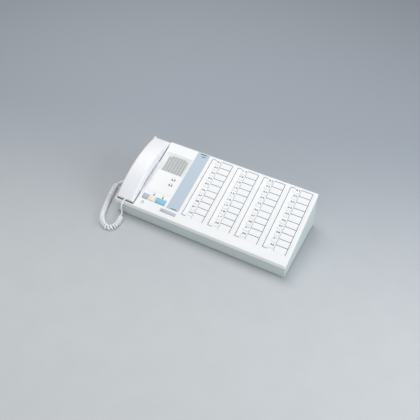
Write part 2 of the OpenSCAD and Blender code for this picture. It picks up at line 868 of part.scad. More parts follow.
parting_r = top_r - shell_depth;

module handset_shell() color("white") on_slope() difference() {
    intersection() {
        handset_bar(0);
        arc_ring(parting_r, top_r, handset_w, handset_r);
    }
    intersection() {
        handset_bar(handset_t);
        arc_ring(parting_r - past, top_r - handset_t, handset_w - 2 * handset_t, handset_r - handset_t);
    }
}

module handset_face() color("white") on_slope() difference() {
    intersection() {
        handset_bar(0);
        arc_ring(top_r / 2, parting_r, handset_w, 0);
    }
    handset_bar(handset_t);
    for (x = [-1:1], y = [-1:1])
        for (s = [receiver_s, microphone_s])
            translate([handset_c + x * sound_ring_r, s + y * sound_ring_r, -cup_depth - past])
                cylinder(r = sound_hole_r, h = handset_t + 2 * past, $fn = hole_fn);
}

module handset_capsules() color("gray") on_slope() {
    translate([handset_c, receiver_s, handset_t - cup_depth]) cylinder(r = receiver_r, h = receiver_h);
    translate([handset_c, microphone_s, handset_t - cup_depth]) cylinder(r = microphone_r, h = microphone_h);
}

boot_n = 3.2;
rib_depth = 0.4;
BOOT_RIBS = 4;
RIB_SHARE = 0.7;

// The ribbed boot, turned about the lead's axis
module handset_plug() color("white") on_slope() translate([handset_c, handset_s, boot_n]) rotate([90, 0, 0])
    rotate_extrude() {
        step = boot_len / BOOT_RIBS;
        end = cord_d / 2 + rib_depth;
        for (i = [0:BOOT_RIBS - 1]) {
            r = boot_r + (end - boot_r) * i / (BOOT_RIBS - 1);
            translate([0, i * step]) square([r, step * RIB_SHARE]);
            translate([0, i * step]) square([r - rib_depth, step]);
        }
    }

// ---------------------------------------------------------------- cord

function unit(v) = v / norm(v);
// A smooth curve through p1 and p2, led by their neighbours
function through(p0, p1, p2, p3, t) =
    0.5 * (2 * p1 + (p2 - p0) * t + (2 * p0 - 5 * p1 + 4 * p2 - p3) * t * t
        + (3 * p1 - p0 - 3 * p2 + p3) * t * t * t);

route = concat(lead_out, curl_path, lead_in);
curl_r = (curl_d - cord_d) / 2;
last_leg = len(route) - 2;
first_curl_leg = len(lead_out);
last_curl_leg = first_curl_leg + len(curl_path) - 2;
function is_curled(leg) = leg >= first_curl_leg && leg <= last_curl_leg;
// How far the route turns at a point, in radians
function turn_at(i) =
    let (a = unit(route[i] - route[i - 1]), b = unit(route[i + 1] - route[i]))
    atan2(norm(cross(a, b)), a * b) * PI / 180;
// A bend has fewer curls, so that they keep clear of each other on its inner side
function curl_run(leg) =
    norm(route[leg + 1] - route[leg]) - curl_r * (turn_at(leg) + turn_at(leg + 1)) / 2;
function leg_steps(leg) =
    is_curled(leg) ? round(curl_run(leg) * RINGS_A_CURL / curl_pitch)
    : max(1, round(norm(route[leg + 1] - route[leg]) / LEAD_STEP));
// The straight first and last legs keep the lead square to what it meets
function axis_point(leg, t) =
    leg == 0 || leg == last_leg ? route[leg] + (route[leg + 1] - route[leg]) * t
    : through(route[leg - 1], route[leg], route[leg + 1], route[min(leg + 2, last_leg + 1)], t);

// Every ring's place on the axis, and whether it is part of a curl
stations = [
    for (leg = [0:last_leg], i = [0:leg_steps(leg) - 1])
        [axis_point(leg, i / leg_steps(leg)), is_curled(leg) ? 1 : 0],
    [route[last_leg + 1], 0]];
count = len(stations);
axis = [for (st = stations) st[0]];
// Curl rings counted from the start
turns = [for (i = 0, n = 0; i < count; i = i + 1, n = n + (i < count ? stations[i][1] : 0)) n];
curl_rings = turns[count - 1];
curls = curl_rings / RINGS_A_CURL;
// Radius of the helix at a ring: it grows from the lead and dies away to the other
function helix_r(i) =
    let (ramp = RAMP_CURLS * RINGS_A_CURL, n = turns[i], a = min(1, min(n, curl_rings - n) / ramp))
    curl_r * a * a * (3 - 2 * a);
tangents = [for (i = [0:count - 1]) unit(axis[min(i + 1, count - 1)] - axis[max(i - 1, 0)])];
// A side direction carried along the axis without twist
first_side = [1, 0, 0];
sides = [
    for (i = 0, v = first_side; i < count;
         i = i + 1, v = i < count ? unit(v - (v * tangents[i]) * tangents[i]) : v) v];
function ring_angle(i) = turns[i] * 360 / RINGS_A_CURL;
function outward(i) =
    cos(ring_angle(i)) * sides[i] + sin(ring_angle(i)) * cross(tangents[i], sides[i]);
cord_line = [for (i = [0:count - 1]) axis[i] + helix_r(i) * outward(i)];
cord_dirs = [
    for (i = [0:count - 1])
        i < 2 || i > count - 3 ? tangents[i] : unit(cord_line[i + 1] - cord_line[i - 1])];
// The ring's own first direction: outward, set square to the cord
ring_first = [
    for (i = [0:count - 1]) let (o = outward(i), d = cord_dirs[i]) unit(o - (o * d) * d)];
cord_points = [
    for (i = [0:count - 1], k = [0:CORD_SIDES - 1])
        let (a = k * 360 / CORD_SIDES)
        cord_line[i] + cord_d / 2 * (cos(a) * ring_first[i] + sin(a) * cross(cord_dirs[i], ring_first[i]))];
cord_faces = concat(
    [for (k = [1:CORD_SIDES - 2]) [0, k + 1, k]],
    [for (i = [0:count - 2], k = [0:CORD_SIDES - 1])
        let (a = i * CORD_SIDES + k, b = i * CORD_SIDES + (k + 1) % CORD_SIDES)
        each [[a, b, b + CORD_SIDES], [a, b + CORD_SIDES, a + CORD_SIDES]]],
    [for (k = [1:CORD_SIDES - 2]) let (e = (count - 1) * CORD_SIDES) [e, e + k, e + k + 1]]);

// Length of the cord up to each ring
run = [
    for (i = 0, sum = 0; i < count;
         i = i + 1, sum = sum + (i < count ? norm(cord_line[i] - cord_line[i - 1]) : 0)) sum];
// The least gap of the cord to itself, between rings that many diameters apart along it
self_gap = min([
    for (i = [0:count - 1], j = [i + 1:1:min(count - 1, i + 3 * RINGS_A_CURL)])
        if (run[j] - run[i] > APART * cord_d) norm(cord_line[i] - cord_line[j]) - cord_d]);
echo(curls = curls, rings = count, self_gap = self_gap, cord_length = run[count - 1],
     lowest = min([for (p = cord_points) p[2]]));

module curly_cord() color("white") polyhedron(cord_points, cord_faces, convexity = 20);

// ---------------------------------------------------------------- drawing

base_housing();
top_cover();
station_panels();
name_cards();
accent_plate();
speaker();
circuit_boards();
rubber_feet();
case_screws();
handset_shell();
handset_face();
handset_capsules();
handset_plug();
curly_cord();
hook_plunger();
off_button();
call_button();
talk_button();
chime_volume_slider();
speaker_volume_slider();
for (i = [0:COLUMNS * ROWS - 1])
    station_key(floor(i / ROWS), i % ROWS);
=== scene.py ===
# %% [markdown]
# # A desk intercom master station
#
# The model that arrives from CAD is exact but plain. This lesson dresses it: a camera where the
# photographer stood, soft studio light, plastics that look moulded, and the small pieces that the
# eye looks for. Everything is in metres, in the frame of the CAD model, so each piece goes
# straight to the place where the real one sits.

# %% Load the frame
import math

import bmesh
import bpy
from mathutils import Matrix, Vector


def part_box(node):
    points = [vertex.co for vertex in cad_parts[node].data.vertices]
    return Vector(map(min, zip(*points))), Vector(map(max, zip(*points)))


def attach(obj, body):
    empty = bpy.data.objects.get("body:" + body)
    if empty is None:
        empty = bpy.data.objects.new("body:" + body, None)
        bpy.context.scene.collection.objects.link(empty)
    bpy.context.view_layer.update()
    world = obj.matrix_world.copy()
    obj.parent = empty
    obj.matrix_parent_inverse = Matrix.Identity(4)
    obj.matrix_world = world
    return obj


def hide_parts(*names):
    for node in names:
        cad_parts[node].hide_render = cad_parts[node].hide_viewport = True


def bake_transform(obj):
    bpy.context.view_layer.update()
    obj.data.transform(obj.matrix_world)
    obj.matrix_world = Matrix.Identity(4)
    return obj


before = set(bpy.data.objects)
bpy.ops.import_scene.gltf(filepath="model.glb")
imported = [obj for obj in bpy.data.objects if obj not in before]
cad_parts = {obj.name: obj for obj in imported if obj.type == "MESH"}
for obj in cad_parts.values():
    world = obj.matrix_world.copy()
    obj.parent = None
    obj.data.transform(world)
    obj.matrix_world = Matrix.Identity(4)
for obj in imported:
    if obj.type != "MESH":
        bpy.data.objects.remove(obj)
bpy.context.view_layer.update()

# %% [markdown]
# ## One set of coordinates for the sloping panel
#
# Nearly everything on this object sits on a panel that slopes up to the back. Working in plain X,
# Y and Z would bury every place in sines and cosines. So places are written as u, s and n in
# millimetres: u from the cover's left edge, s up the slope from its front edge, n above the panel.
# One matrix turns them into the frame's metres.

# %% Slope coordinates
MM = 0.001
SLOPE = math.radians(17)
FRONT_HEIGHT = 46 * MM
cover_low, cover_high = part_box("top_cover")
SLOPE_PLACE = (Matrix.Translation((cover_low.x, cover_low.y, FRONT_HEIGHT))
               @ Matrix.Rotation(SLOPE, 4, "X"))
SLOPE_MM = SLOPE_PLACE @ Matrix.Scale(MM, 4)
PANEL_MIDDLE = SLOPE_MM @ Vector((245, 111, 0))
print("the cover, mm:", [round(c / MM, 1) for c in cover_high - cover_low])
print("the panel's middle, m:", [round(c, 4) for c in PANEL_MIDDLE])

# %% [markdown]
# ## The camera
#
# The photograph looks down on the station from its front right corner. The corners of the cover
# and the even rows of keys make a grid of known size, and the camera that draws this grid in the
# same places gives the position, the turn and the lens. No shift is needed.

# %% Camera
camera_data = bpy.data.cameras.new("camera")
camera_data.sensor_width = 36
camera_data.lens = 45.18
camera = bpy.data.objects.new("camera", camera_data)
camera.location = (0.40659, -0.90285, 1.04462)
camera.rotation_euler = [math.radians(a) for a in (44.139, -1.878, 26.942)]
bpy.context.scene.collection.objects.link(camera)
bpy.context.scene.camera = camera
bpy.context.scene.view_settings.view_transform = "Standard"
print("camera distance:", round((camera.location - PANEL_MIDDLE).length, 3), "m")


# %% [markdown]
# ## Colours as they are seen
#
# A colour picked by eye is in display values from 0 to 255, but a shader works with linear light.
# One small function turns the first into the second, and colours can then be written as they look.

# %% Colour helper
def tone(red, green, blue):
    """Linear RGBA for a colour given in display values from 0 to 255."""
    def linear(value):
        v = value / 255
        return v / 12.92 if v <= 0.04045 else ((v + 0.055) / 1.055) ** 2.4
    return (linear(red), linear(green), linear(blue), 1.0)


print("a display grey of 188 is linear", round(tone(188, 188, 188)[0], 3))


# %% [markdown]
# ## Shader groups
#
# Several plastics share the same effects: a fine grain left by the mould, a slow drift of tone,
# and a little dust that settles on faces that look up. Each effect is a node group that is built
# once. A group gives out only colours, masks, values and normals that change over the surface.
# Shaders and constant values stay in the materials.

# %% Group helper
def new_group(name, inputs, outputs):
    """An empty shader group with named sockets, and its two end nodes."""
    group = bpy.data.node_groups.new(name, "ShaderNodeTree")
    for label, kind, value in inputs:
        socket = group.interface.new_socket(label, in_out="INPUT", socket_type=kind)
        socket.default_value = value
    for label, kind in outputs:
        group.interface.new_socket(label, in_out="OUTPUT", socket_type=kind)
    return group, group.nodes.new("NodeGroupInput"), group.nodes.new("NodeGroupOutput")


FLOAT, COLOUR, VECTOR = "NodeSocketFloat", "NodeSocketColor", "NodeSocketVector"


# %% [markdown]
# A few short helpers save much repetition. The first sets a socket or links it. Each of the others
# adds one node and hands back the output that the next step starts from.

# %% Node helpers
def feed(tree, socket, source):
    """Links a socket to another node's output, or sets it to a plain value."""
    if isinstance(source, bpy.types.NodeSocket):
        tree.links.new(source, socket)
    else:
        socket.default_value = source


def object_place(tree):
    """The place of a surface point in its object's own space."""
    return tree.nodes.new("ShaderNodeTexCoord").outputs["Object"]


def calculate(tree, operation, *sources, clamp=False):
    """One step of arithmetic on numbers."""
    node = tree.nodes.new("ShaderNodeMath")
    node.operation = operation
    node.use_clamp = clamp
    for socket, source in zip(node.inputs, sources):
        feed(tree, socket, source)
    return node.outputs["Value"]


def calculate_vector(tree, operation, *sources):
    """One step of arithmetic on vectors; a dot product gives a number."""
    node = tree.nodes.new("ShaderNodeVectorMath")
    node.operation = operation
    for socket, source in zip(node.inputs, sources):
        feed(tree, socket, source)
    return node.outputs["Value" if operation == "DOT_PRODUCT" else "Vector"]


def split_vector(tree, vector):
    """The X, Y and Z of a vector, by name."""
    node = tree.nodes.new("ShaderNodeSeparateXYZ")
    feed(tree, node.inputs["Vector"], vector)
    return node.outputs


# %% Texture helpers
def add_noise(tree, place, scale, detail, roughness=0.5):
    """Smooth noise at a place."""
    node = tree.nodes.new("ShaderNodeTexNoise")
    for label, source in (("Vector", place), ("Scale", scale), ("Detail", detail),
                          ("Roughness", roughness)):
        feed(tree, node.inputs[label], source)
    return node.outputs["Fac"]


def add_bump(tree, height, distance):
    """A normal that leans where the height rises or falls."""
    node = tree.nodes.new("ShaderNodeBump")
    feed(tree, node.inputs["Height"], height)
    feed(tree, node.inputs["Distance"], distance)
    return node.outputs["Normal"]


def mix_colours(tree, share, first, second):
    """A colour that goes from the first to the second as the share goes from 0 to 1."""
    node = tree.nodes.new("ShaderNodeMix")
    node.data_type = "RGBA"
    for label, source in (("Factor", share), ("A", first), ("B", second)):
        feed(tree, node.inputs[label], source)
    return node.outputs["Result"]


# %% [markdown]
# ### Mould grain
#
# The steel of a mould is etched or sparked, and the plastic copies its grain. Two layers of noise
# in object space do it: a fine one moves the normal a little, and a slow one, which stands for the
# sink and flow of a thin wall, lets the roughness vary.

# %% Grain group
FLOW_SCALE = 28


def build_grain():
    tree, start, end = new_group(
        "mould_grain",
        [("Scale", FLOAT, 1500.0), ("Depth", FLOAT, 0.00002), ("Roughness", FLOAT, 0.4),
         ("Variation", FLOAT, 0.06)],
        [("Normal", VECTOR), ("Roughness", FLOAT)])
    place = object_place(tree)
    fine = add_noise(tree, place, start.outputs["Scale"], detail=2)
    feed(tree, end.inputs["Normal"], add_bump(tree, fine, start.outputs["Depth"]))
    spread = tree.nodes.new("ShaderNodeMapRange")
    feed(tree, spread.inputs["Value"], add_noise(tree, place, FLOW_SCALE, detail=1))
    for label, operation in (("To Min", "SUBTRACT"), ("To Max", "ADD")):
        limit = calculate(tree, operation, start.outputs["Roughness"], start.outputs["Variation"])
        feed(tree, spread.inputs[label], limit)
    feed(tree, end.inputs["Roughness"], spread.outputs["Result"])
    return tree


GRAIN = build_grain()
print("group:", GRAIN.name)


# %% [markdown]
# ### Tone drift and dust
#
# No moulded surface has one flat colour. A slow noise mixes the colour with a slightly deeper one.
# Dust is a pale film where the surface looks up and a second noise allows it.

# %% Drift group
DRIFT_STARTS, DRIFT_ENDS = 0.35, 0.75
SPECK_SCALE = 420
DUST_TONE = tone(214, 212, 206)


def build_drift():
    tree, start, end = new_group(
        "tone_drift",
        [("Color", COLOUR, (0.8, 0.8, 0.8, 1)), ("Deeper", COLOUR, (0.7, 0.7, 0.7, 1)),
         ("Scale", FLOAT, 16.0), ("Dust", FLOAT, 0.04)],
        [("Color", COLOUR)])
    place = object_place(tree)
    drift = tree.nodes.new("ShaderNodeMapRange")
    drift.inputs["From Min"].default_value = DRIFT_STARTS
    drift.inputs["From Max"].default_value = DRIFT_ENDS
    feed(tree, drift.inputs["Value"], add_noise(tree, place, start.outputs["Scale"], detail=3))
    mould = mix_colours(tree, drift.outputs["Result"], start.outputs["Color"],
                        start.outputs["Deeper"])
    normal = tree.nodes.new("ShaderNodeNewGeometry").outputs["Normal"]
    specks = add_noise(tree, place, SPECK_SCALE, detail=4)
    upward = calculate(tree, "MULTIPLY", split_vector(tree, normal)["Z"], specks, clamp=True)
    amount = calculate(tree, "MULTIPLY", upward, start.outputs["Dust"])
    feed(tree, end.inputs["Color"], mix_colours(tree, amount, mould, DUST_TONE))
    return tree


DRIFT = build_drift()
print("group:", DRIFT.name)


# %% [markdown]
# ### Patches in slope coordinates
#
# Some places on the cover get another base colour. The sunk field round the loudspeaker is a
# little greyer than the cover. The walls and foot of each volume slot are painted dark: painted
# shade, since light hardly reaches the foot of a slot. A group that turns the place of a point
# into u, s and n, and tells softly whether it lies in a box there, marks such a place.

# %% Patch group
def build_patch():
    tree, start, end = new_group(
        "slope_patch",
        [("Middle", VECTOR, (0, 0, 0)), ("Half", VECTOR, (10, 10, 10)), ("Soft", FLOAT, 0.4)],
        [("Mask", FLOAT)])
    place = object_place(tree)
    back = SLOPE_MM.inverted()
    turned = tree.nodes.new("ShaderNodeCombineXYZ")
    for row, label in enumerate("XYZ"):
        part = calculate_vector(tree, "DOT_PRODUCT", place, back[row][:3])
        feed(tree, turned.inputs[label], part)
    shift = [back[row][3] for row in range(3)]
    on_panel = calculate_vector(tree, "ADD", turned.outputs["Vector"], shift)
    off = calculate_vector(tree, "SUBTRACT", on_panel, start.outputs["Middle"])
    size = calculate_vector(tree, "ABSOLUTE", off)
    inside = split_vector(tree, calculate_vector(tree, "SUBTRACT", start.outputs["Half"], size))
    least = calculate(tree, "MINIMUM", inside["X"], inside["Y"])
    least = calculate(tree, "MINIMUM", least, inside["Z"])
    mask = calculate(tree, "DIVIDE", least, start.outputs["Soft"], clamp=True)
    feed(tree, end.inputs["Mask"], mask)
    return tree


PATCH = build_patch()
print("group:", PATCH.name)


# %% [markdown]
# ## Materials
#
# The plastics differ in colour, grain, gloss, drift of tone and dust, and in nothing else, so one
# function makes them all. The constant values, such as the index of refraction, are set on the
# shader's own sockets.

# %% Plastic maker
PLASTIC_IOR = 1.49
ROUGHNESS_SPREAD = 0.05


def new_material(name):
    """A material, its tree and its Principled shader."""
    material = bpy.data.materials.new(name)
    material.use_nodes = True
    return material, material.node_tree, material.node_tree.nodes["Principled BSDF"]


def add_group(tree, group, **values):
    """Places a group in a material's tree and sets its named inputs."""
    node = tree.nodes.new("ShaderNodeGroup")
    node.node_tree = group
    for label, value in values.items():
        node.inputs[label].default_value = value
    return node


def deeper(colour, share):
    """The colour with a share of its light taken away."""
    return tuple(c * (1 - share) for c in colour[:3]) + (1.0,)


def moulded(name, colour, roughness=0.42, grain=1400, depth=0.00001, drift=0.03, dust=0.05):
    """A moulded plastic with grain, slow drift of tone and a little dust."""
    material, tree, shader = new_material(name)
    material.diffuse_color = colour
    shader.inputs["IOR"].default_value = PLASTIC_IOR
    texture = add_group(tree, GRAIN, Scale=grain, Depth=depth, Roughness=roughness,
                        Variation=ROUGHNESS_SPREAD)
    paint = add_group(tree, DRIFT, Color=colour, Deeper=deeper(colour, drift), Dust=dust)
    tree.links.new(paint.outputs["Color"], shader.inputs["Base Color"])
    tree.links.new(texture.outputs["Roughness"], shader.inputs["Roughness"])
    tree.links.new(texture.outputs["Normal"], shader.inputs["Normal"])
    return material


# %% The plastics of the station
PLASTIC = {
    "cover": moulded("cover_white", tone(246, 246, 246), roughness=0.46),
    "base": moulded("base_grey", tone(203, 212, 209), roughness=0.5),
    "panel": moulded("panel_white", tone(246, 246, 246), roughness=0.38, grain=900),
    "handset": moulded("handset_white", tone(246, 246, 248), roughness=0.34, depth=0.000006),
    "key": moulded("key_white", tone(240, 240, 240), roughness=0.36),
    "cord": moulded("cord_white", tone(250, 250, 252), roughness=0.33, grain=700, dust=0.02),
    "off": moulded("button_grey_blue", tone(166, 180, 196), roughness=0.3),
    "call": moulded("button_beige", tone(242, 228, 204), roughness=0.3),
    "talk": moulded("button_cyan", tone(116, 186, 212), roughness=0.28),
    "rubber": moulded("foot_rubber", tone(58, 60, 62), roughness=0.75, grain=500, depth=0.00004,
                      dust=0.2),
    "board": moulded("board_green", tone(38, 96, 64), roughness=0.4, grain=300, depth=0.00003),
    # Dark plastic for the handset's capsules and the lamp rims; on the flanges under the volume
    # knobs it is painted shade at the foot of the slots
    "dark": moulded("dark_insert_and_slot_shade", tone(46, 48, 52), roughness=0.55),
    "ink": moulded("frame_ink", tone(66, 72, 78), roughness=0.6, drift=0.12, dust=0),
    "number_ink": moulded("number_ink", tone(18, 54, 82), roughness=0.6, drift=0.1, dust=0),
    "lamp": moulded("lamp_lens", tone(34, 28, 30), roughness=0.12, depth=0.000002),
}
print("plastics:", len(PLASTIC))

# %% [markdown]
# The cover needs four patches: the sunk field, the louvres in its middle, and painted shade on
# the walls of the two volume slots. A patch keeps the plastic's grain, since it changes the base
# colour alone.

# %% Patches on the cover
SLIDER_U = 121.2
# Name and place along s of each volume slide
SLIDERS = (("chime_volume_slider", 111), ("speaker_volume_slider", 93.4))
SLOT_WALL_U, SLOT_WALL_S = 6.2, 3
PATCH_FOOT, FIELD_TOP, SLOT_WALL_TOP = -4, -0.5, -0.25


def repaint(material, mask, colour):
    """Mixes another colour into a material's base colour where a mask of its own tree allows."""
    tree = material.node_tree
    base = tree.nodes["Principled BSDF"].inputs["Base Color"]
    feed(tree, base, mix_colours(tree, mask, base.links[0].from_socket, colour))


def add_patch(material, colour, low, high, soft):
    """Gives a moulded plastic another colour inside a box of slope coordinates."""
    middle = [(l + h) / 2 for l, h in zip(low, high)]
    half = [(h - l) / 2 for l, h in zip(low, high)]
    place = add_group(material.node_tree, PATCH, Middle=middle, Half=half, Soft=soft)
    repaint(material, place.outputs["Mask"], colour)


add_patch(PLASTIC["cover"], tone(228, 228, 228),
          (62.9, 127.7, PATCH_FOOT), (140.6, 187.8, FIELD_TOP), soft=0.2)
add_patch(PLASTIC["cover"], tone(210, 211, 212),
          (73.4, 129.4, PATCH_FOOT), (133.6, 181.4, FIELD_TOP), soft=0.5)
# Painted shade: the walls and foot of each volume slot are painted dark, where light hardly
# reaches
for _, s in SLIDERS:
    add_patch(PLASTIC["cover"], tone(70, 72, 76),
              (SLIDER_U - SLOT_WALL_U, s - SLOT_WALL_S, PATCH_FOOT),
              (SLIDER_U + SLOT_WALL_U, s + SLOT_WALL_S, SLOT_WALL_TOP), soft=0.1)
print("patches:", 2 + len(SLIDERS))


# %% [markdown]
# ### Card, accent film, metal, strips of painted shade, and cloth
#
# None of these is moulded. The name cards are paper with soft fibres. The accent strip is a
# printed film with a fine speckle. The name plate and the screws are metal with a brushed grain,
# which is noise pulled out along one axis. The loudspeaker's cone and the dark strips of painted
# shade in the cradle's pockets use the same noise, deeper and not pulled. The cloth behind the
# grille is a weave of two crossing waves.

# %% Fibre and brush group
def build_streaks():
    tree, start, end = new_group(
        "streaks",
        [("Stretch", VECTOR, (1, 1, 1)), ("Scale", FLOAT, 900.0), ("Depth", FLOAT, 0.00001),
         ("Color", COLOUR, (0.8, 0.8, 0.8, 1)), ("Deeper", COLOUR, (0.6, 0.6, 0.6, 1))],
        [("Color", COLOUR), ("Normal", VECTOR)])
    pulled = calculate_vector(tree, "MULTIPLY", object_place(tree), start.outputs["Stretch"])
    noise = add_noise(tree, pulled, start.outputs["Scale"], detail=5, roughness=0.65)
    colour = mix_colours(tree, noise, start.outputs["Color"], start.outputs["Deeper"])
    feed(tree, end.inputs["Color"], colour)
    feed(tree, end.inputs["Normal"], add_bump(tree, noise, start.outputs["Depth"]))
    return tree


STREAKS = build_streaks()
print("group:", STREAKS.name)


# %% Streaked finishes
def streaked(name, colour, share, scale, depth, roughness, stretch=(1, 1, 1), metallic=0.0):
    """A material whose colour and surface follow one noise, which may be stretched."""
    material, tree, shader = new_material(name)
    material.diffuse_color = colour
    shader.inputs["Metallic"].default_value = metallic
    shader.inputs["Roughness"].default_value = roughness
    look = add_group(tree, STREAKS, Stretch=stretch, Scale=scale, Depth=depth, Color=colour,
                     Deeper=deeper(colour, share))
    tree.links.new(look.outputs["Color"], shader.inputs["Base Color"])
    tree.links.new(look.outputs["Normal"], shader.inputs["Normal"])
    return material


FINISH = {
    "card": streaked("card_paper", tone(248, 248, 249), share=0.05, scale=700, depth=0.00001,
                     roughness=0.6, stretch=(1, 3, 1)),
    "accent": streaked("accent_film", tone(190, 203, 217), share=0.09, scale=1300, depth=0.000008,
                       roughness=0.45),
    "plate": streaked("plate_metal", tone(172, 175, 182), share=0.22, scale=160, depth=0.000008,
                      roughness=0.4, stretch=(1, 24, 24), metallic=0.3),
    "screw": streaked("screw_steel", tone(190, 192, 196), share=0.3, scale=300, depth=0.00001,
                      roughness=0.3, stretch=(1, 1, 8), metallic=1.0),
    "cone": streaked("speaker_cone", tone(70, 72, 76), share=0.3, scale=500, depth=0.00004,
                     roughness=0.7),
    # Painted shade: dark strips that make the gaps beside the handset's cups read dark
    "pocket_shade": streaked("painted_pocket_shade", tone(40, 40, 42), share=0.5, scale=1600, depth=0.0001,
                     roughness=0.95),
}
print("finishes:", len(FINISH))


# %% Cloth for the grille
# At scale 1 Blender's wave texture draws this many waves on one metre.
WAVES_PER_METRE = 3.18
WEAVE_PITCH, WEAVE_SHADE, WEAVE_DEPTH = 1.1 * MM, 0.35, 0.1 * MM


def woven(name, colour, pitch):
    """A plain weave: two waves at right angles, which lift the surface in turn."""
    material, tree, shader = new_material(name)
    shader.inputs["Roughness"].default_value = 0.85
    place = object_place(tree)
    waves = []
    for axis in "XY":
        wave = tree.nodes.new("ShaderNodeTexWave")
        wave.bands_direction = axis
        wave.inputs["Scale"].default_value = 1 / pitch / WAVES_PER_METRE
        feed(tree, wave.inputs["Vector"], place)
        waves.append(wave.outputs["Fac"])
    cross = calculate(tree, "MULTIPLY", *waves)
    threads = mix_colours(tree, cross, deeper(colour, WEAVE_SHADE), colour)
    feed(tree, shader.inputs["Base Color"], threads)
    feed(tree, shader.inputs["Normal"], add_bump(tree, cross, WEAVE_DEPTH))
    return material


FINISH["cloth"] = woven("grille_cloth", tone(214, 215, 214), WEAVE_PITCH)
print("cloth:", FINISH["cloth"].name)


# %% [markdown]
# ## Dressing the CAD nodes
#
# A node whose shape is right keeps its mesh. Its faces were cut apart at every CAD face, so the
# shading would break at each of them. Two modifiers mend that without touching the mesh itself: a
# weld joins the points again, and an edge split opens only the edges that are truly sharp.

# %% Node dresser
WELD_DISTANCE = 0.000002
SHARP_ANGLE = math.radians(32)


def dress(node, material):
    """Gives a CAD node its material and clean shading."""
    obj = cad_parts[node]
    obj.data.materials.clear()
    obj.data.materials.append(material)
    obj.data.polygons.foreach_set("use_smooth", [True] * len(obj.data.polygons))
    weld = obj.modifiers.new("weld", "WELD")
    weld.merge_threshold = WELD_DISTANCE
    split = obj.modifiers.new("split", "EDGE_SPLIT")
    split.split_angle = SHARP_ANGLE


# %% Case, boards and fixings
CASE = (
    ("top_cover", PLASTIC["cover"]), ("base_housing", PLASTIC["base"]),
    ("station_panels", PLASTIC["panel"]), ("name_cards", FINISH["card"]),
    ("accent_plate", FINISH["accent"]), ("rubber_feet", PLASTIC["rubber"]),
    ("case_screws", FINISH["screw"]), ("circuit_boards", PLASTIC["board"]),
    ("speaker", FINISH["cone"]), ("hook_plunger", PLASTIC["handset"]))
for node, finish in CASE:
    dress(node, finish)
print("case nodes dressed:", len(CASE))

# %% [markdown]
# ## The handset
#
# A long shell, gently arched over the hand, closes over a flat face with two cups. The CAD pieces
# have the arch, the rounding along the edges and the parting line between the two halves.

# %% Handset
for node in ("handset_shell", "handset_face", "handset_plug"):
    dress(node, PLASTIC["handset"])
dress("handset_capsules", PLASTIC["dark"])
shell_low, shell_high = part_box("handset_shell")
print("handset shell, mm:", [round(c / MM) for c in shell_high - shell_low])

# %% [markdown]
# ## The curly cord
#
# One lead leaves the boot at the handset's foot, drops to the desk and winds into a helix that
# lies along the desk in a loop, and a short lead goes into the left wall. The route is a list of
# points chosen against the photograph. A smooth curve runs through them, and the helix is wound
# round that curve by a frame that is carried along without twist.

# %% The cord's route
LEAD_OUT = [
    (-218.85, -108.81, 48.68), (-218.85, -112.64, 47.51), (-219, -116.6, 44.5),
    (-219.4, -118.8, 39), (-219.9, -119.2, 32), (-220.3, -118.8, 26), (-220.4, -118.4, 21)]
CURL_PATH = [
    (-220.2, -118.9, 16.4), (-219.4, -121.6, 12), (-218, -126.8, 9), (-216, -135, 7.4),
    (-214.4, -144, 7.4), (-213.8, -154, 7.4), (-216, -165, 7.4), (-222, -172.4, 7.4),
    (-231.6, -175.2, 7.4), (-243, -171.2, 7.4), (-254.6, -161.6, 7.4), (-264.4, -148, 7.4),
    (-271.4, -132, 7.4), (-277, -115.6, 7.4), (-282, -99, 7.4), (-286.8, -82, 7.4),
    (-291.4, -66, 7.4), (-295.8, -49, 7.4), (-298.4, -35, 7.4), (-298, -22, 7.4)]
LEAD_IN = [
    (-294, -11, 7.4), (-286, -2.4, 8.2), (-275, 3, 10), (-263, 5.6, 12), (-253.4, 6, 13),
    (-247.75, 6, 13)]
ROUTE = [Vector(p) * MM for p in LEAD_OUT + CURL_PATH + LEAD_IN]
CORD_D, CURL_D = 3.8 * MM, 14.5 * MM
CURL_R = (CURL_D - CORD_D) / 2
CURL_PITCH = 5 * MM
LEAD_STEP = 3 * MM
RAMP_CURLS = 2
# Steps for each curl in the CAD model, how many times finer they are here, and the tube's sides
COARSE, FINER, SIDES = 8, 3, 12
first_curl, last_curl = len(LEAD_OUT), len(LEAD_OUT) + len(CURL_PATH) - 2
print("route points:", len(ROUTE))


# %% A smooth curve through the route
def route_point(leg, t):
    """A point of the curve; the first and the last leg stay straight."""
    a, b = ROUTE[leg], ROUTE[leg + 1]
    if leg in (0, len(ROUTE) - 2):
        return a.lerp(b, t)
    before, after = ROUTE[leg - 1], ROUTE[leg + 2]
    return 0.5 * (2 * a + (b - before) * t + (2 * before - 5 * a + 4 * b - after) * t ** 2
                  + (3 * a - before - 3 * b + after) * t ** 3)


def turn_at(i):
    """How far the route turns at one of its points, in radians."""
    return (ROUTE[i] - ROUTE[i - 1]).angle(ROUTE[i + 1] - ROUTE[i])


def leg_steps(leg):
    """Steps on a leg. A bend has fewer curls, so that they keep clear on its inner side."""
    span = (ROUTE[leg + 1] - ROUTE[leg]).length
    if first_curl <= leg <= last_curl:
        span -= CURL_R * (turn_at(leg) + turn_at(leg + 1)) / 2
        return FINER * round(span * COARSE / CURL_PITCH)
    return FINER * max(1, round(span / LEAD_STEP))


axis, curled = [], []
for leg in range(len(ROUTE) - 1):
    steps = leg_steps(leg)
    for i in range(steps):
        axis.append(route_point(leg, i / steps))
        curled.append(first_curl <= leg <= last_curl)
axis.append(ROUTE[-1])
curled.append(False)
print("stations:", len(axis), "of them curled:", sum(curled))

# %% [markdown]
# A lead doesn't bend sharply into its first curl: it swings out while it begins to turn. So the
# width of the helix and its turning both ease in over the first curls, and ease out over the last.

